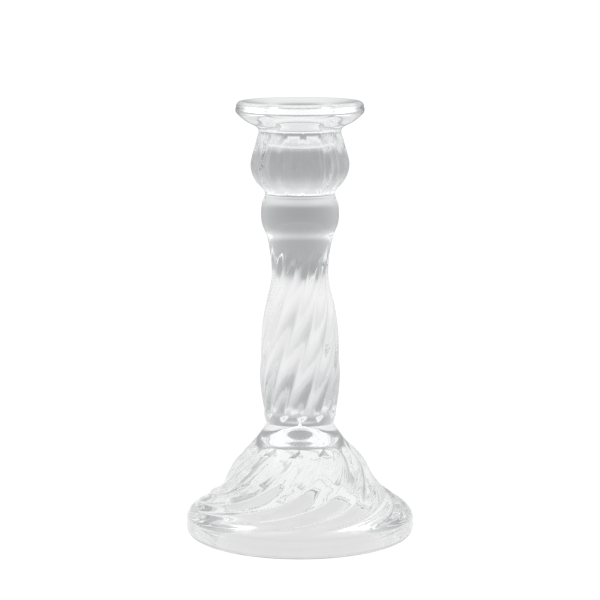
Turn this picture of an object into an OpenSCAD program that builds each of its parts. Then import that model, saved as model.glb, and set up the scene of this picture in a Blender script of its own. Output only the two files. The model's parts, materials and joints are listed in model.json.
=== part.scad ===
// Pressed-glass candlestick with a hollow domed foot, a bell with swirled
// flutes, a twisted fluted stem, a plain knop, a fluted cup with a blind
// candle socket and a round drip pan. Millimetres, +Z up, the origin on the
// axis at the plane the foot rests on.

/* [Foot] */

// Widest diameter of the foot
foot_d = 105; // [96:0.5:114]
// Height of the plain rim of the foot
rim_h = 11; // [10.5:0.5:13]
// Radius of the round at the bottom outer edge
base_round = 3; // [1:0.5:4]
// Diameter of the hollow where it opens at the bottom
hollow_d = 77; // [72:0.5:80]
// Height of the hollow's blind tip above the table
hollow_h = 53.4; // [50:0.2:54]
// Height of the swirled bell
bell_h = 32; // [31:0.5:34]
// Diameter of the bell where the collar starts
bell_top_d = 43; // [40:0.5:46]
// Depth of the bell's flutes
bell_flute = 1.6; // [0.4:0.1:2]
// Degrees the bell's flutes sweep around from top to rim
bell_sweep = 115; // [40:5:130]

/* [Stem] */

// Height of the smooth collar between bell and stem
collar_h = 12; // [11:0.5:13]
// Narrowest diameter of the collar
waist_d = 32; // [29:0.5:34]
// Height of the twisted stem
stem_h = 81; // [70:0.5:95]
// Widest diameter of the stem
swell_d = 37; // [34:0.5:40]
// Narrowest diameter of the stem
neck_d = 26; // [22:0.5:28]
// Diameter where the stem runs into the knop
stem_top_d = 29; // [26:0.5:31]
// Number of flutes around the stem and the bell
flutes = 12; // [8:1:14]
// Depth of the stem's flutes
stem_flute = 0.8; // [0.3:0.1:1.2]
// Degrees the flutes turn over the height of the stem
stem_turn = 92; // [40:2:130]

/* [Knop and cup] */

// Height of the plain knop
knop_h = 22.5; // [18:0.5:27]
// Widest diameter of the knop
knop_d = 35; // [33:0.5:39]
// Diameter of the groove between knop and cup
groove_d = 32; // [30:0.5:33]
// Height of the fluted cup
cup_h = 29; // [26:0.5:32]
// Widest diameter of the cup
cup_d = 45; // [42:0.5:48]
// Diameter of the throat below the drip pan
throat_d = 38; // [36:0.5:40]
// Number of flutes around the cup
cup_flutes = 14; // [8:1:14]
// Depth of the cup's flutes
cup_flute = 0.9; // [0.3:0.1:1.2]
// Degrees the cup's flutes are turned about the axis
cup_turn = 17; // [0:1:25]

/* [Drip pan and socket] */

// Height of the drip pan
pan_h = 12.5; // [11:0.5:14]
// Widest diameter of the drip pan
pan_d = 58; // [54:0.5:64]
// Depth of the pan's dish from its lip to the mouth of the socket
dish_drop = 3; // [2:0.1:3.6]
// Bore of the candle socket
socket_d = 22.6; // [21:0.1:24]
// Depth of the socket below the lip
socket_depth = 21.5; // [18:0.5:23]
// Radius of the round at the socket's floor
socket_round = 2; // [1:0.5:4]

/* [Hidden] */

$fn = 96;
// Rings of points per span of the outline on the fluted sections.
span_rings = 6;
// Points per flute around a fluted section.
flute_points = 8;
// Sharpness of the groove between two ribs, 0 is a crease.
groove_soft = 0.25;

foot_r = foot_d / 2;
hollow_r = hollow_d / 2;
bell_r = bell_top_d / 2;
waist_r = waist_d / 2;
swell_r = swell_d / 2;
neck_r = neck_d / 2;
stem_top_r = stem_top_d / 2;
knop_r = knop_d / 2;
groove_r = groove_d / 2;
cup_r = cup_d / 2;
throat_r = throat_d / 2;
pan_r = pan_d / 2;
socket_r = socket_d / 2;

bell_z = rim_h;
collar_z = bell_z + bell_h;
stem_z = collar_z + collar_h;
knop_z = stem_z + stem_h;
cup_z = knop_z + knop_h;
pan_z = cup_z + cup_h;
top_z = pan_z + pan_h;
floor_z = top_z - socket_depth;
mouth_z = top_z - dish_drop;

// ---------- curves ----------

function mix(a, b, t) = a + (b - a) * t;

function ease(a, b, x) =
  let (t = min(1, max(0, (x - a) / (b - a))))
  t * t * (3 - 2 * t);

// One point of a Catmull-Rom span from b to c, with neighbours a and d.
function span_point(a, b, c, d, t) =
  0.5 * (2 * b + (c - a) * t
    + (2 * a - 5 * b + 4 * c - d) * t * t
    + (3 * b - a - 3 * c + d) * t * t * t);

// Smooth curve through keys i0 to i1 of list k, with n steps a span.
function curve(k, i0, i1, n) = [
  for (i = [i0 : i1 - 1])
    for (j = [0 : n - 1])
      span_point(k[max(i - 1, 0)], k[i], k[i + 1],
        k[min(i + 2, len(k) - 1)], j / n),
  k[i1]
];

// Arc about the point c, from angle a0 to a1.
function arc(c, r, a0, a1, n) = [
  for (i = [0 : n])
    let (a = mix(a0, a1, i / n))
    [c[0] + r * cos(a), c[1] + r * sin(a)]
];

// ---------- outline, as [radius, height] from the rim upwards ----------

function rim_at(t, h) = [mix(bell_r, foot_r, t), bell_z * h];
function bell_at(t, h) = [mix(bell_r, foot_r, t), bell_z + bell_h * h];
function collar_at(t, h) = [mix(bell_r, waist_r, t), collar_z + collar_h * h];
function stem_at(r, h) = [r, stem_z + stem_h * h];
function knop_at(r, h) = [r, knop_z + knop_h * h];
function cup_at(r, h) = [r, cup_z + cup_h * h];
function pan_at(t, h) = [mix(throat_r, pan_r, t), pan_z + pan_h * h];

// The rim's keys are 0 to 2, the bell's 2 to 6, the collar's 6 to 8, the
// stem's 8 to 13, the knop's 13 to 16, the cup's 16 to 20 and the pan's 20
// to 23.
outline = [
  [foot_r, base_round],
  rim_at(1, 0.55),
  bell_at(0.95, 0),
  bell_at(0.55, 0.3),
  bell_at(0.4, 0.5),
  bell_at(0.25, 0.75),
  collar_at(0, 0),
  collar_at(1, 0.65),
  stem_at(mix(waist_r, swell_r, 0.2), 0),
  stem_at(mix(waist_r, swell_r, 0.8), 0.15),
  stem_at(swell_r, 0.3),
  stem_at(mix(swell_r, neck_r, 0.35), 0.6),
  stem_at(neck_r, 0.8),
  knop_at(stem_top_r, 0),
  knop_at(knop_r, 0.4),
  knop_at(knop_r, 0.75),
  cup_at(groove_r, 0),
  cup_at(mix(groove_r, cup_r, 0.7), 0.2),
  cup_at(cup_r, 0.45),
  cup_at(mix(cup_r, throat_r, 0.7), 0.8),
  pan_at(0, 0),
  pan_at(0.6, 0.3),
  pan_at(1, 0.6),
  pan_at(1, 0.8)
];

// Hollow under the foot, from its mouth up to its blind tip in the collar.
function hollow_at(t, h) = [hollow_r * t, bell_z + bell_h * h];
function tip_at(t, h) = [hollow_r * t, mix(collar_z, hollow_h, h)];

hollow = [
  [hollow_r, 0],
  [hollow_r * 0.998, rim_h * 0.27],
  [hollow_r * 0.992, rim_h * 0.64],
  hollow_at(0.961, 0),
  hollow_at(0.87, 0.13),
  hollow_at(0.766, 0.305),
  hollow_at(0.678, 0.5),
  hollow_at(0.571, 0.719),
  hollow_at(0.431, 0.919),
  tip_at(0.327, 0),
  tip_at(0.218, 0.25),
  tip_at(0.13, 0.596),
  tip_at(0.068, 0.885),
  tip_at(0, 1)
];

// ---------- flutes ----------

// Depth of a flute across its width, u running from 0 to 1: 1 in the
// groove and 0 on the crest of the rib.
function groove_shape(u) =
  let (s = sqrt(pow(sin(180 * u), 2) + pow(groove_soft, 2)))
  1 - (s - groove_soft) / (sqrt(1 + pow(groove_soft, 2)) - groove_soft);

// Solid with a number of flutes up to depth d. Each section of k is [radius,
// height, fade, turn]; as fade rises from 0 to 1 a flute narrows to nothing,
// which gives it an arched end.
module fluted(k, count, d) {
  n = count * flute_points;
  m = len(k);
  points = [
    for (s = k)
      for (j = [0 : n - 1])
        let (
          a = j * 360 / n + s[3],
          r = s[0] - d * max(0, groove_shape(j / flute_points) - s[2])
        )
        [r * cos(a), r * sin(a), s[1]]
  ];
  sides = [
    for (i = [0 : m - 2])
      for (j = [0 : n - 1])
        let (
          a = i * n + j,
          b = i * n + (j + 1) % n
        )
        each [[a, a + n, b], [b, a + n, b + n]]
  ];
  floor_face = [[for (j = [0 : n - 1]) j]];
  roof_face = [[for (j = [n - 1 : -1 : 0]) (m - 1) * n + j]];
  polyhedron(points, concat(floor_face, sides, roof_face), convexity = 4);
}

// Fade over a length a at the bottom and b at the top of a section.
function fade_at(z, z0, z1, a, b) =
  max(1 - ease(z0, z0 + a, z), ease(z1 - b, z1, z));

// Turn of the bell's flutes at height z, growing towards the rim.
function bell_turn_at(z) =
  let (u = (collar_z - z) / bell_h)
  -bell_sweep * (0.4 * u + 0.6 * pow(u, 5));

function stem_turn_at(z) = stem_turn * (z - stem_z) / stem_h;

// ---------- shared cutting tools ----------

module hollow_tool() {
  rotate_extrude()
    polygon(concat(
      [[0, -1], [hollow[0][0], -1]],
      curve(hollow, 0, len(hollow) - 1, 4)));
}

module socket_tool() {
  rotate_extrude()
    polygon(concat(
      [[0, floor_z]],
      arc([socket_r - socket_round, floor_z + socket_round],
        socket_round, -90, 0, 6),
      [[socket_r, mouth_z], [socket_r, top_z + 1], [0, top_z + 1]]));
}

// ---------- sub-parts ----------

// Plain ring the candlestick stands on, with a rounded bottom edge.
module foot_rim() {
  color([0.86, 0.89, 0.9, 0.5])
    difference() {
      rotate_extrude()
        polygon(concat(
          [[0, 0]],
          arc([foot_r - base_round, base_round], base_round, -90, 0, 6),
          curve(outline, 0, 2, 6),
          [[0, bell_z]]));
      hollow_tool();
    }
}

// Domed bell of the foot with flutes that swirl down to the rim.
module foot_bell() {
  color([0.84, 0.88, 0.9, 0.5])
    difference() {
      fluted([
        for (p = curve(outline, 2, 6, span_rings))
          [p[0], p[1],
            fade_at(p[1], bell_z, collar_z, 0.05 * bell_h, 0.12 * bell_h),
            bell_turn_at(p[1])]
      ], flutes, bell_flute);
      hollow_tool();
    }
}

// Smooth waisted collar around the blind tip of the hollow.
module collar() {
  color([0.86, 0.89, 0.9, 0.5])
    difference() {
      rotate_extrude()
        polygon(concat(
          [[0, collar_z]],
          curve(outline, 6, 8, 6),
          [[0, stem_z]]));
      hollow_tool();
    }
}

// Solid baluster stem with twisted flutes.
module stem() {
  color([0.84, 0.88, 0.9, 0.5])
    fluted([
      for (p = curve(outline, 8, 13, span_rings))
        [p[0], p[1],
          fade_at(p[1], stem_z, knop_z, 0.04 * stem_h, 0.1 * stem_h),
          stem_turn_at(p[1])]
    ], flutes, stem_flute);
}

// Solid plain knop with a groove above it.
module knop() {
  color([0.86, 0.89, 0.9, 0.5])
    rotate_extrude()
      polygon(concat(
        [[0, knop_z]],
        curve(outline, 13, 16, 8),
        [[0, cup_z]]));
}

// Fluted cup around the blind candle socket.
module candle_cup() {
  color([0.84, 0.88, 0.9, 0.5])
    difference() {
      fluted([
        for (p = curve(outline, 16, 20, span_rings))
          [p[0], p[1],
            fade_at(p[1], cup_z, pan_z, 0.15 * cup_h, 0.2 * cup_h),
            cup_turn]
      ], cup_flutes, cup_flute);
      socket_tool();
    }
}

// Round drip pan with a thick lip and a shallow dish into the socket.
module drip_pan() {
  lip_r = top_z - outline[23][1];
  color([0.86, 0.89, 0.9, 0.5])
    difference() {
      rotate_extrude()
        polygon(concat(
          [[0, pan_z]],
          curve(outline, 20, 23, 8),
          arc([pan_r - lip_r, top_z - lip_r], lip_r, 0, 90, 6),
          [
            [pan_r - lip_r - 2.4, top_z - 0.2],
            [mix(pan_r, socket_r, 0.45), top_z - 0.22 * dish_drop],
            [mix(pan_r, socket_r, 0.75), top_z - 0.5 * dish_drop],
            [socket_r + 0.8, top_z - 0.8 * dish_drop],
            [socket_r, mouth_z],
            [0, mouth_z]
          ]));
      socket_tool();
    }
}

foot_rim();
foot_bell();
collar();
stem();
knop();
candle_cup();
drip_pan();
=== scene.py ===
import json
import math

import bpy
import numpy as np
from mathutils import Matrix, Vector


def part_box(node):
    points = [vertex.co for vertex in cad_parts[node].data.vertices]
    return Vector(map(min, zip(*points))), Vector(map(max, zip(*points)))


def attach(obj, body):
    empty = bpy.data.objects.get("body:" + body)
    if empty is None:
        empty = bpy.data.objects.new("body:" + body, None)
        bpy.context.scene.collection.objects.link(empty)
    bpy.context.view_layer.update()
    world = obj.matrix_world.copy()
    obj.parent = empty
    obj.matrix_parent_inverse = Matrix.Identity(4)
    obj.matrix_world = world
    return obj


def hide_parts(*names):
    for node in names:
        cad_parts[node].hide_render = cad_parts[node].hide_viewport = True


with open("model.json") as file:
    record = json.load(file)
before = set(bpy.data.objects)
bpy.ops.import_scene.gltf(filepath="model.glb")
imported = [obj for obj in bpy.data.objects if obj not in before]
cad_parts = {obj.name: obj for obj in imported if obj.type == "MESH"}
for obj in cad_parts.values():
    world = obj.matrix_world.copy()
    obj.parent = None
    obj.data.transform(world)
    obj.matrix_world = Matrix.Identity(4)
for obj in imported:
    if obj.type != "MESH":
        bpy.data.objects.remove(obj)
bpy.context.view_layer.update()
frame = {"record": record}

MM = 0.001

# ---------------------------------------------------------------- sizes, mm

FLUTES = 12
CUP_FLUTES = 14
AROUND = 420


def top_of(node):
    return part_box(node)[1][2] / MM


BELL_Z = top_of("foot_rim")
COLLAR_Z = top_of("foot_bell")
STEM_Z = top_of("collar")
KNOP_Z = top_of("stem")
CUP_Z = top_of("knop")
PAN_Z = top_of("candle_cup")
TOP_Z = top_of("drip_pan")

FOOT_R = 52.5
BELL_R = 21.5
WAIST_R = 16.0
SWELL_R = 18.5
NECK_R = 13.0
STEM_TOP_R = 14.5
KNOP_R = 17.5
GROOVE_R = 16.0
CUP_R = 22.5
THROAT_R = 19.0
PAN_R = 29.0
BASE_ROUND = 3.0
SOCKET_R = next(m for m in frame["record"]["mounts"]
                if m["name"] == "candle_socket")["dims"]["r_mm"]
SOCKET_DEPTH = 21.5
SOCKET_FLOOR = TOP_Z - SOCKET_DEPTH
SOCKET_ROUND = 2.0
DISH_DROP = 3.0
SOCKET_MOUTH = TOP_Z - DISH_DROP

# ---------------------------------------------------------------- curves


def mix(a, b, t):
    return a + (b - a) * t


def ease(a, b, x):
    t = np.clip((x - a) / (b - a), 0, 1)
    return t * t * (3 - 2 * t)


def curve(keys, n):
    """Catmull-Rom curve through keys, n points a span, ends included."""
    k = np.array(keys, float)
    out = []
    for i in range(len(k) - 1):
        a, b, c, d = (k[max(i - 1, 0)], k[i], k[i + 1],
                      k[min(i + 2, len(k) - 1)])
        for j in range(n):
            t = j / n
            out.append(0.5 * (2 * b + (c - a) * t
                              + (2 * a - 5 * b + 4 * c - d) * t * t
                              + (3 * b - a - 3 * c + d) * t ** 3))
    out.append(k[-1])
    return np.array(out)


def arc(cr, cz, r, a0, a1, n):
    a = np.radians(np.linspace(a0, a1, n + 1))
    return np.stack([cr + r * np.cos(a), cz + r * np.sin(a)], 1)


def even(path, step):
    """Points of a path at an even spacing, its ends kept."""
    d = np.hypot(*np.diff(path, axis=0).T)
    s = np.concatenate([[0], np.cumsum(d)])
    n = max(2, int(round(s[-1] / step)))
    u = np.linspace(0, s[-1], n + 1)
    return np.stack([np.interp(u, s, path[:, 0]),
                     np.interp(u, s, path[:, 1])], 1)


# ---------------------------------------------------------------- outline

# The same keys as part.scad: [radius, height] up the outside of the glass.


def rim_at(t, h):
    return (mix(BELL_R, FOOT_R, t), BELL_Z * h)


def bell_at(t, h):
    return (mix(BELL_R, FOOT_R, t), mix(BELL_Z, COLLAR_Z, h))


def collar_at(t, h):
    return (mix(BELL_R, WAIST_R, t), mix(COLLAR_Z, STEM_Z, h))


def stem_at(r, h):
    return (r, mix(STEM_Z, KNOP_Z, h))


def knop_at(r, h):
    return (r, mix(KNOP_Z, CUP_Z, h))


def cup_at(r, h):
    return (r, mix(CUP_Z, PAN_Z, h))


def pan_at(t, h):
    return (mix(THROAT_R, PAN_R, t), mix(PAN_Z, TOP_Z, h))


OUTLINE = [
    (FOOT_R, BASE_ROUND),
    rim_at(1, 0.55),
    bell_at(0.95, 0),
    bell_at(0.55, 0.3),
    bell_at(0.4, 0.5),
    bell_at(0.25, 0.75),
    collar_at(0, 0),
    collar_at(1, 0.65),
    stem_at(mix(WAIST_R, SWELL_R, 0.2), 0),
    stem_at(mix(WAIST_R, SWELL_R, 0.8), 0.15),
    stem_at(SWELL_R, 0.3),
    stem_at(mix(SWELL_R, NECK_R, 0.35), 0.6),
    stem_at(NECK_R, 0.8),
    knop_at(STEM_TOP_R, 0),
    knop_at(KNOP_R, 0.4),
    knop_at(KNOP_R, 0.75),
    cup_at(GROOVE_R, 0),
    cup_at(mix(GROOVE_R, CUP_R, 0.7), 0.2),
    cup_at(CUP_R, 0.45),
    cup_at(mix(CUP_R, THROAT_R, 0.7), 0.8),
    pan_at(0, 0),
    pan_at(0.6, 0.3),
    pan_at(1, 0.6),
    pan_at(1, 0.8),
]

LIP_R = TOP_Z - OUTLINE[-1][1]


# Hollow under the foot, from its mouth up to the tip in the collar.
HOLLOW = [
    (38.5, 0),
    (38.4, 3),
    (38.2, 7),
    (37, BELL_Z),
    (33.5, 15.2),
    (29.5, 20.8),
    (26.1, 27),
    (22, 34),
    (16.6, 40.4),
    (12.6, COLLAR_Z),
    (8.4, 45.6),
    (5, 49.2),
    (2.6, 52.2),
    (0, 53.4),
]
HOLLOW_TOP = HOLLOW[-1][1]

# ---------------------------------------------------------------- flutes

GROOVE_SOFT = 0.25
BELL_FLUTE = 1.6
BELL_SWEEP = 115
STEM_FLUTE = 0.8
STEM_TURN = 92
CUP_FLUTE = 0.9
CUP_TURN = 17
BELL_COMB = 0.07
STEM_COMB = 0.025
CUP_COMB = 0.03
RIPPLE = 0.03
RIPPLE_SEED = 1


def groove(u):
    """Depth of a flute across its width: 1 in the groove, 0 on the crest."""
    s = np.sqrt(np.sin(np.pi * u) ** 2 + GROOVE_SOFT ** 2)
    crest = math.sqrt(1 + GROOVE_SOFT ** 2)
    return 1 - (s - GROOVE_SOFT) / (crest - GROOVE_SOFT)


def fade_at(z, z0, z1, a, b):
    """Fade over a length a at the bottom and b at the top of a section."""
    return max(1 - ease(z0, z0 + a, z), ease(z1 - b, z1, z))


# A section with no flutes, in the same terms as flutes_at.
PLAIN = (1, 0, 0, 1, 0)


def flutes_at(z):
    """A section's flutes: their number, depth, combing, fade and turn."""
    if z <= COLLAR_Z:
        h = COLLAR_Z - BELL_Z
        u = (COLLAR_Z - z) / h
        return (FLUTES, BELL_FLUTE, BELL_COMB,
                fade_at(z, BELL_Z, COLLAR_Z, 0.05 * h, 0.12 * h),
                -BELL_SWEEP * (0.4 * u + 0.6 * u ** 5))
    if STEM_Z < z <= KNOP_Z:
        h = KNOP_Z - STEM_Z
        return (FLUTES, STEM_FLUTE, STEM_COMB,
                fade_at(z, STEM_Z, KNOP_Z, 0.04 * h, 0.1 * h),
                STEM_TURN * (z - STEM_Z) / h)
    if CUP_Z < z <= PAN_Z:
        h = PAN_Z - CUP_Z
        return (CUP_FLUTES, CUP_FLUTE, CUP_COMB,
                fade_at(z, CUP_Z, PAN_Z, 0.15 * h, 0.2 * h), CUP_TURN)
    return PLAIN


# ---------------------------------------------------------------- surfaces

ANGLE = np.arange(AROUND) * 2 * math.pi / AROUND


def ripple(z):
    """Slow unevenness of moulded glass round one ring, about -1 to 1."""
    rng = np.random.default_rng(RIPPLE_SEED)
    out = np.zeros_like(ANGLE)
    for _ in range(12):
        k = rng.integers(1, 9)
        out += (math.cos(z * rng.uniform(0.08, 0.5) + rng.uniform(0, 6.28))
                * np.cos(k * ANGLE + rng.uniform(0, 6.28)))
    return out / 6


def combing(u, z):
    """Fine drag lines that the turning mould leaves along the flutes."""
    drift = 0.35 * math.sin(0.21 * z) + 0.2 * math.sin(0.47 * z + 1)
    return (0.5 * np.cos(2 * np.pi * (3 * u + drift))
            + 0.35 * np.cos(2 * np.pi * (5 * u - 1.4 * drift) + 0.8)
            + 0.15 * np.cos(2 * np.pi * (8 * u + 2 * drift) + 2.1))


def rings(path, fluted=False):
    """Grid of points: one ring round the axis for each [radius, height]."""
    out = []
    for r, z in path:
        count, depth, comb, fade, turn = flutes_at(z) if fluted else PLAIN
        u = (ANGLE - math.radians(turn)) * count / (2 * math.pi)
        rr = r - depth * np.maximum(0, groove(u) - fade)
        if fluted:
            rr = rr + comb * depth * (1 - fade) * combing(u, z)
            rr = rr - RIPPLE * min(1, z / 3) * min(1, (TOP_Z - z) / 3) * (
                1 + ripple(z))
        out.append(np.stack([rr * np.cos(ANGLE), rr * np.sin(ANGLE),
                             np.full(AROUND, z)], 1))
    return np.array(out)


def grid_normals(g):
    """Unit normals of a grid of rings, pointing left of the way it runs."""
    du = np.roll(g, -1, 1) - np.roll(g, 1, 1)
    dv = np.gradient(g, axis=0)
    n = np.cross(du, dv)
    return n / np.maximum(np.linalg.norm(n, axis=2, keepdims=True), 1e-9)


# ---------------------------------------------------------------- materials


def material(name):
    """A new empty material, with its nodes and links."""
    m = bpy.data.materials.new(name)
    m.use_nodes = True
    m.node_tree.nodes.clear()
    return m, m.node_tree.nodes, m.node_tree.links


def clear_glass():
    """Clear pressed glass with a fire-polished skin."""
    m, nodes, links = material("clear_glass")
    out = nodes.new("ShaderNodeOutputMaterial")
    b = nodes.new("ShaderNodeBsdfPrincipled")
    b.inputs["IOR"].default_value = 1.5
    b.inputs["Transmission Weight"].default_value = 1.0
    links.new(b.outputs[0], out.inputs["Surface"])
    coord = nodes.new("ShaderNodeTexCoord")
    # Faint cloudiness in the tint, the colour of colourless soda glass.
    tint = nodes.new("ShaderNodeTexNoise")
    tint.inputs["Scale"].default_value = 55
    tint.inputs["Detail"].default_value = 3
    links.new(coord.outputs["Object"], tint.inputs["Vector"])
    ramp = nodes.new("ShaderNodeValToRGB")
    ramp.color_ramp.elements[0].position = 0.3
    ramp.color_ramp.elements[0].color = (0.965, 0.972, 0.975, 1)
    ramp.color_ramp.elements[1].position = 0.7
    ramp.color_ramp.elements[1].color = (0.985, 0.987, 0.987, 1)
    links.new(tint.outputs["Fac"], ramp.inputs["Fac"])
    links.new(ramp.outputs["Color"], b.inputs["Base Color"])
    # Fire-polished skin: almost no roughness, a little more in patches.
    skin = nodes.new("ShaderNodeTexNoise")
    skin.inputs["Scale"].default_value = 140
    skin.inputs["Detail"].default_value = 4
    links.new(coord.outputs["Object"], skin.inputs["Vector"])
    rough = nodes.new("ShaderNodeMapRange")
    rough.inputs["From Min"].default_value = 0.4
    rough.inputs["From Max"].default_value = 0.8
    rough.inputs["To Min"].default_value = 0.0
    rough.inputs["To Max"].default_value = 0.006
    links.new(skin.outputs["Fac"], rough.inputs["Value"])
    links.new(rough.outputs["Result"], b.inputs["Roughness"])
    # Ripples left by the press mould.
    ripple = nodes.new("ShaderNodeTexNoise")
    ripple.inputs["Scale"].default_value = 90
    ripple.inputs["Detail"].default_value = 1
    links.new(coord.outputs["Object"], ripple.inputs["Vector"])
    bump = nodes.new("ShaderNodeBump")
    bump.inputs["Strength"].default_value = 0.25
    bump.inputs["Distance"].default_value = 0.0002
    links.new(ripple.outputs["Fac"], bump.inputs["Height"])
    links.new(bump.outputs["Normal"], b.inputs["Normal"])
    return m


def fused_joint():
    """Where two sections of the one casting meet, light passes straight."""
    m, nodes, links = material("fused_joint")
    out = nodes.new("ShaderNodeOutputMaterial")
    t = nodes.new("ShaderNodeBsdfTransparent")
    links.new(t.outputs[0], out.inputs["Surface"])
    return m


GLASS = clear_glass()
JOINT = fused_joint()

# ---------------------------------------------------------------- pieces


# Places in a piece's list of materials.
SKIN = 0
INSIDE = 1


class Solid:
    """Collects the shells and the flat joint faces of one closed piece."""

    def __init__(self):
        self.verts = []
        self.faces = []
        self.normals = []
        self.mats = []
        self.count = 0

    def ring(self, pts):
        """Adds a ring of points and returns the number of its first one."""
        start = self.count
        self.verts.append(pts)
        self.count += len(pts)
        return start

    def shell(self, g, nrm):
        """Adds a grid of rings as quads, with its true normals."""
        first = self.ring(g.reshape(-1, 3))
        m = len(g)
        j = np.arange(AROUND)
        k = (j + 1) % AROUND
        flat = nrm.reshape(-1, 3)
        for i in range(m - 1):
            a = first + i * AROUND
            quad = np.stack([a + j, a + k, a + AROUND + k, a + AROUND + j], 1)
            self.faces += quad.tolist()
            self.normals.append(flat[quad - first].reshape(-1, 3))
            self.mats += [SKIN] * AROUND
        return first, first + (m - 1) * AROUND

    def disc(self, start, z, up, mat):
        """Closes a ring with a fan of triangles to the axis."""
        centre = self.ring(np.array([[0.0, 0.0, z]]))
        j = np.arange(AROUND)
        k = (j + 1) % AROUND
        tri = np.stack([start + j, start + k, np.full(AROUND, centre)], 1)
        if not up:
            tri = tri[:, ::-1]
        self.faces += tri.tolist()
        self.normals.append(np.tile([0, 0, 1.0 if up else -1.0],
                                    (AROUND * 3, 1)))
        self.mats += [mat] * AROUND

    def ledge(self, outer, inner, up, mat):
        """Closes the space between two rings on one level."""
        j = np.arange(AROUND)
        k = (j + 1) % AROUND
        quad = np.stack([outer + j, outer + k, inner + k, inner + j], 1)
        if not up:
            quad = quad[:, ::-1]
        self.faces += quad.tolist()
        self.normals.append(np.tile([0, 0, 1.0 if up else -1.0],
                                    (AROUND * 4, 1)))
        self.mats += [mat] * AROUND

    def build(self, name, node):
        """Makes the object, hangs it under the root body and hides its node's
        own part.
        """
        v = np.concatenate(self.verts) * MM
        me = bpy.data.meshes.new(name)
        me.from_pydata(v.tolist(), [], self.faces)
        me.materials.append(GLASS)
        me.materials.append(JOINT)
        me.polygons.foreach_set("material_index", self.mats)
        me.polygons.foreach_set("use_smooth", [True] * len(me.polygons))
        me.normals_split_custom_set(np.concatenate(self.normals).tolist())
        me.update()
        ob = bpy.data.objects.new(name, me)
        bpy.context.scene.collection.objects.link(ob)
        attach(ob, "root")
        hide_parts(node)


# Outside of the whole casting in one run of rings, from the flat the foot
# rests on up over the lip of the pan to the socket's mouth, so that
# neighbouring sections share their rings and normals exactly.

# Spacing of the rings, points a span of the curves, and the keys where one
# section ends and the next begins.
STEP = 0.8
SPAN = 24
HOLLOW_SPAN = 12
SECTION_KEYS = [2, 6, 8, 13, 16, 20]
HOLLOW_BELL_KEY = 3
HOLLOW_COLLAR_KEY = 9

full = curve(OUTLINE, SPAN)
parts = []
edges = [0] + [k * SPAN for k in SECTION_KEYS] + [len(full) - 1]
for a, b in zip(edges[:-1], edges[1:]):
    parts.append(even(full[a:b + 1], STEP))
base = arc(FOOT_R - BASE_ROUND, BASE_ROUND, BASE_ROUND, -90, 0, 8)
lip = arc(PAN_R - LIP_R, TOP_Z - LIP_R, LIP_R, 0, 90, 9)
dish = curve([
    (PAN_R - LIP_R, TOP_Z),
    (PAN_R - LIP_R - 2.4, TOP_Z - 0.2),
    (mix(PAN_R, SOCKET_R, 0.45), TOP_Z - 0.22 * DISH_DROP),
    (mix(PAN_R, SOCKET_R, 0.75), TOP_Z - 0.5 * DISH_DROP),
    (SOCKET_R + 0.8, TOP_Z - 0.8 * DISH_DROP),
    (SOCKET_R, SOCKET_MOUTH),
], 6)
wall_upper = even(np.array([(SOCKET_R, SOCKET_MOUTH), (SOCKET_R, PAN_Z)]), 1)
wall_lower = even(np.array([(SOCKET_R, PAN_Z),
                            (SOCKET_R, SOCKET_FLOOR + SOCKET_ROUND)]), 1)
corner = arc(SOCKET_R - SOCKET_ROUND, SOCKET_FLOOR + SOCKET_ROUND,
             SOCKET_ROUND, 0, -90, 10)
floor_run = even(np.array([(SOCKET_R - SOCKET_ROUND, SOCKET_FLOOR),
                           (0.6, SOCKET_FLOOR)]), 1)

path = [base[:-1], parts[0]]
# Number of the ring where each section ends and the next begins.
cuts = [len(base) - 1 + len(parts[0]) - 1]
for p in parts[1:]:
    path.append(p[1:])
    cuts.append(cuts[-1] + len(p) - 1)
outer = rings(np.concatenate(path + [lip[1:], dish[1:]]), fluted=True)
outer_n = grid_normals(outer)

socket_path = np.concatenate([wall_upper, wall_lower[1:], corner[1:],
                              floor_run[1:]])
socket = rings(socket_path)
socket_n = grid_normals(socket)
socket_cut = len(wall_upper) - 1

hollow_full = curve(HOLLOW, HOLLOW_SPAN)
rim_end = HOLLOW_BELL_KEY * HOLLOW_SPAN
bell_end = HOLLOW_COLLAR_KEY * HOLLOW_SPAN
hollow_rim = even(hollow_full[:rim_end + 1], STEP)
hollow_bell = even(hollow_full[rim_end:bell_end + 1], STEP)
hollow_tip = even(hollow_full[bell_end:-1], STEP)
hollow = rings(np.concatenate([hollow_rim, hollow_bell[1:], hollow_tip[1:]]))
hollow_n = -grid_normals(hollow)
low_cut = len(hollow_rim) - 1
high_cut = low_cut + len(hollow_bell) - 1


def inward(g, nrm):
    """Turns a shell's faces over, for a surface that faces the axis."""
    return g[::-1], nrm[::-1]


# Foot rim
s = Solid()
lo, hi = s.shell(outer[:cuts[0] + 1], outer_n[:cuts[0] + 1])
in_hi, in_lo = s.shell(*inward(hollow[:low_cut + 1], hollow_n[:low_cut + 1]))
s.ledge(lo, in_lo, False, SKIN)
s.ledge(hi, in_hi, True, INSIDE)
s.build("foot_rim_glass", "foot_rim")

# Foot bell
s = Solid()
lo, hi = s.shell(outer[cuts[0]:cuts[1] + 1], outer_n[cuts[0]:cuts[1] + 1])
in_hi, in_lo = s.shell(*inward(hollow[low_cut:high_cut + 1],
                               hollow_n[low_cut:high_cut + 1]))
s.ledge(lo, in_lo, False, INSIDE)
s.ledge(hi, in_hi, True, INSIDE)
s.build("foot_bell_glass", "foot_bell")

# Collar, around the tip of the hollow
s = Solid()
lo, hi = s.shell(outer[cuts[1]:cuts[2] + 1], outer_n[cuts[1]:cuts[2] + 1])
in_hi, in_lo = s.shell(*inward(hollow[high_cut:], hollow_n[high_cut:]))
s.ledge(lo, in_lo, False, INSIDE)
s.disc(in_hi, HOLLOW_TOP, False, SKIN)
s.disc(hi, STEM_Z, True, INSIDE)
s.build("collar_glass", "collar")

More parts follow.
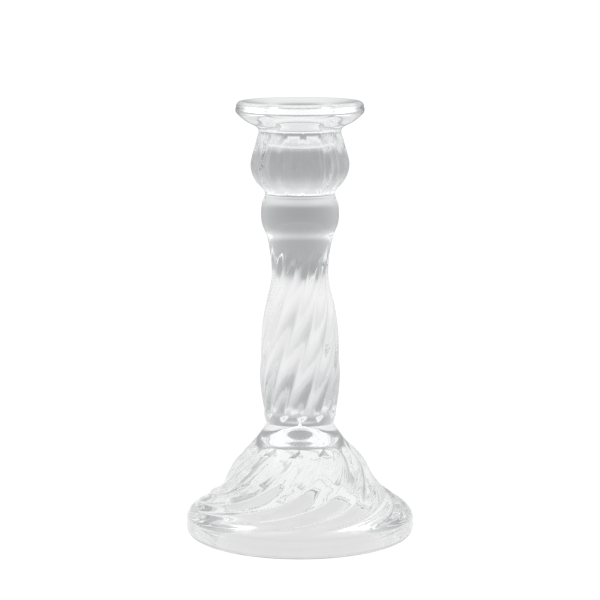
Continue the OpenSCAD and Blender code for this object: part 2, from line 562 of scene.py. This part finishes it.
# Stem and knop are solid right through
for name, a, z0, z1 in (("stem", 2, STEM_Z, KNOP_Z),
                        ("knop", 3, KNOP_Z, CUP_Z)):
    s = Solid()
    lo, hi = s.shell(outer[cuts[a]:cuts[a + 1] + 1],
                     outer_n[cuts[a]:cuts[a + 1] + 1])
    s.disc(lo, z0, False, INSIDE)
    s.disc(hi, z1, True, INSIDE)
    s.build(name + "_glass", name)

# Candle cup with the lower part of the socket
s = Solid()
lo, hi = s.shell(outer[cuts[4]:cuts[5] + 1], outer_n[cuts[4]:cuts[5] + 1])
in_hi, in_lo = s.shell(socket[socket_cut:], socket_n[socket_cut:])
s.disc(lo, CUP_Z, False, INSIDE)
s.ledge(hi, in_hi, True, INSIDE)
s.disc(in_lo, SOCKET_FLOOR, True, SKIN)
s.build("candle_cup_glass", "candle_cup")

# Drip pan with the mouth of the socket
s = Solid()
lo, hi = s.shell(outer[cuts[5]:], outer_n[cuts[5]:])
in_hi, in_lo = s.shell(socket[:socket_cut + 1], socket_n[:socket_cut + 1])
s.ledge(lo, in_lo, False, INSIDE)
s.ledge(hi, in_hi, True, SKIN)
s.build("drip_pan_glass", "drip_pan")

# ---------------------------------------------------------------- stage

TENT_R = 0.4
TENT_H = 0.8
TABLE_R = 6
TABLE_WHITE = 1.05
# The stage lies just under the glass, so that the two faces don't share a
# plane.
STAGE_Z = -0.0003

# Painted light and shade of each side of the tent at the table, at mid height
# and at the top, then the heights in metres where the middle is reached and
# where the top begins. The front is painted dark at mid height, where the
# camera looks in.
BACK = (0.75, 0.4, 0.8, 0.08, 0.2)
FRONT = (1.0, 0.2, 0.9, 0.2, 0.25)
SIDES = (0.8, 0.65, 1.6, 0.1, 0.3)
RISE = 0.15

# Painted brightness of its floor: in the painted shadow of the foot, round
# the foot and at the wall.
SHADE = 0.75
ROUND_FOOT = 0.95
AT_WALL = 0.8
SKY = 1.08


def maths(nodes, links, kind, a, b=None):
    """One maths node; a and b are sockets or numbers."""
    m = nodes.new("ShaderNodeMath")
    m.operation = kind
    for k, x in enumerate((a, b)):
        if isinstance(x, (int, float)):
            m.inputs[k].default_value = x
        elif x is not None:
            links.new(x, m.inputs[k])
    return m.outputs[0]


def blend(nodes, links, value, start, end, low, high):
    """Eases from one brightness to another along a span of value."""
    m = nodes.new("ShaderNodeMapRange")
    m.interpolation_type = "SMOOTHSTEP"
    m.inputs["From Min"].default_value = start
    m.inputs["From Max"].default_value = end
    m.inputs["To Min"].default_value = low
    m.inputs["To Max"].default_value = high
    links.new(value, m.inputs["Value"])
    return m.outputs["Result"]


def glowing_paper(name):
    """A matt sheet that glows with painted light instead of being lit; returns
    its nodes and its place.
    """
    m, nodes, links = material(name)
    out = nodes.new("ShaderNodeOutputMaterial")
    e = nodes.new("ShaderNodeEmission")
    links.new(e.outputs[0], out.inputs["Surface"])
    coord = nodes.new("ShaderNodeTexCoord")
    split = nodes.new("ShaderNodeSeparateXYZ")
    links.new(coord.outputs["Object"], split.inputs[0])
    return m, nodes, links, e, split.outputs


def white_paper():
    """Even white, for the table that the camera sees."""
    m, _, _, e, _ = glowing_paper("paper_white")
    e.inputs["Color"].default_value = (TABLE_WHITE, TABLE_WHITE, TABLE_WHITE, 1)
    return m


def painted_floor_shade():
    """The tent's floor, with a painted shadow of the foot and painted light
    that dims towards the wall.
    """
    m, nodes, links, e, place = glowing_paper("tent_floor_painted_shade")
    r = maths(nodes, links, "SQRT", maths(
        nodes, links, "ADD",
        maths(nodes, links, "MULTIPLY", place["X"], place["X"]),
        maths(nodes, links, "MULTIPLY", place["Y"], place["Y"])))
    e.inputs["Color"].default_value = (1, 0.999, 0.993, 1)
    # Painted shadow of the foot, darker near the axis.
    near = blend(nodes, links, r, 0.03, 0.05, SHADE, ROUND_FOOT)
    # Painted light, dimming towards the wall.
    far = blend(nodes, links, r, 0.15, TENT_R, 0, AT_WALL - ROUND_FOOT)
    links.new(maths(nodes, links, "ADD", near, far), e.inputs["Strength"])
    return m


def painted_wall_light():
    """The tent's sides, with painted light and shade by height, blended by the
    square of the direction.
    """
    m, nodes, links, e, place = glowing_paper("tent_wall_painted_light")
    total = 0.0
    for axis, sign, side in (("Y", 1, BACK), ("Y", -1, FRONT),
                             ("X", 1, SIDES), ("X", -1, SIDES)):
        bottom, middle, top, low, high = side
        # Painted shade low on each side, painted light at its top.
        lower = blend(nodes, links, place["Z"], 0, low, bottom, middle)
        upper = blend(nodes, links, place["Z"], high, high + RISE,
                      0, top - middle)
        facing = maths(nodes, links, "MAXIMUM", maths(
            nodes, links, "MULTIPLY", place[axis], sign / TENT_R), 0.0)
        share = maths(nodes, links, "MULTIPLY", facing, facing)
        light = maths(nodes, links, "MULTIPLY", share,
                      maths(nodes, links, "ADD", lower, upper))
        total = maths(nodes, links, "ADD", light, total)
    e.inputs["Color"].default_value = (0.99, 1, 1.01, 1)
    links.new(total, e.inputs["Strength"])
    return m


def stage_mesh(name, verts, faces, mat):
    """One mesh of the stage."""
    me = bpy.data.meshes.new(name)
    me.from_pydata(verts, [], faces)
    me.materials.append(mat)
    ob = bpy.data.objects.new(name, me)
    bpy.context.scene.collection.objects.link(ob)
    return ob


def circle(r, z, n=96):
    """Points round the axis at height z."""
    a = [2 * math.pi * i / n for i in range(n)]
    return [(r * math.cos(t), r * math.sin(t), z) for t in a]


def disc_mesh(name, r, mat):
    """A round sheet of the stage."""
    v = circle(r, STAGE_Z) + [(0, 0, STAGE_Z)]
    n = len(v) - 1
    return stage_mesh(name, v, [(i, (i + 1) % n, n) for i in range(n)], mat)


# Seen past the glass, the table and the air are pure white.
table = disc_mesh("table_white", TABLE_R, white_paper())
table.visible_transmission = False
table.visible_glossy = False
table.visible_diffuse = False

# Seen through the glass, they are the soft greys inside a light tent, glowing
# sheets with painted shadow, light and shade.
under = disc_mesh("tent_floor", TENT_R, painted_floor_shade())
under.visible_camera = False

v = circle(TENT_R, STAGE_Z) + circle(TENT_R, TENT_H)
n = len(v) // 2
wall = stage_mesh("tent_wall", v, [(i, n + i, n + (i + 1) % n, (i + 1) % n)
                                   for i in range(n)], painted_wall_light())
wall.visible_camera = False

world = bpy.data.worlds.new("studio")
bpy.context.scene.world = world
world.use_nodes = True
air = world.node_tree.nodes["Background"]
air.inputs["Color"].default_value = (1, 1, 1, 1)
air.inputs["Strength"].default_value = SKY

# ---------------------------------------------------------------- camera

CAMERA_AWAY = 1.03
CAMERA_UP = 0.272
CAMERA_DOWN_TILT = 9
LENS = 136.5
BOUNCES = 64

cam = bpy.data.cameras.new("camera")
cam.sensor_width = 36
cam.lens = LENS
cam.clip_start = 0.01
cam_ob = bpy.data.objects.new("camera", cam)
cam_ob.location = (0, -CAMERA_AWAY, CAMERA_UP)
cam_ob.rotation_euler = (math.radians(90 - CAMERA_DOWN_TILT), 0, 0)
bpy.context.scene.collection.objects.link(cam_ob)
bpy.context.scene.camera = cam_ob

sc = bpy.context.scene
sc.view_settings.view_transform = "Standard"
sc.cycles.max_bounces = BOUNCES
sc.cycles.transmission_bounces = BOUNCES
sc.cycles.glossy_bounces = BOUNCES
sc.cycles.transparent_max_bounces = BOUNCES
sc.cycles.caustics_reflective = True
sc.cycles.caustics_refractive = True
